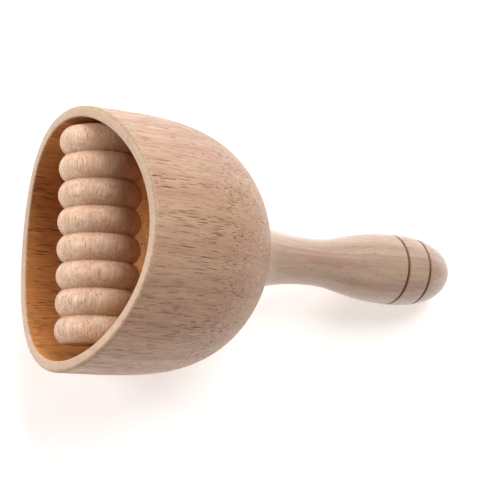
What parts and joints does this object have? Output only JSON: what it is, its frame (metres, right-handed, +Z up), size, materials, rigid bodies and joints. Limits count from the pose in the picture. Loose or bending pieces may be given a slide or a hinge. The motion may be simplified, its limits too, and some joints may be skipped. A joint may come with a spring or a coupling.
{
  "type": "wooden roller massager",
  "caption": "Turned wooden massage cup on a slim handle, with a freely turning beaded roller set across its scooped mouth.",
  "frame": {"origin": "on the floor, under the middle of the box of the massager lying on its side", "axes": "+X from the mouth towards the end of the handle, +Y along the roller, +Z up"},
  "size_m": [0.1764, 0.095, 0.0983],
  "materials": {
    "cup_wood": "satin, fine dark pores along the handle",
    "handle_wood": "satin, fine dark pores along the handle",
    "roller_wood": "satin, fine dark pores along the roller",
    "dowel_wood": "raw",
    "plug_wood": "sanded end grain",
    "axle_steel": "drawn rod"
  },
  "bodies": {
    "body": {"cup": "cup_wood", "handle": "handle_wood", "handle_dowel": "dowel_wood", "roller_axle": "axle_steel", "axle_plug_front": "plug_wood", "axle_plug_back": "plug_wood"},
    "roller": {"roller": "roller_wood"}
  },
  "joints": [
    {"name": "roller_spin", "type": "hinge", "parent": "body", "child": "roller", "pos_m": [-0.06917, 0, 0.05128], "axis": [0, 1, 0], "continuous": true}
  ]
}
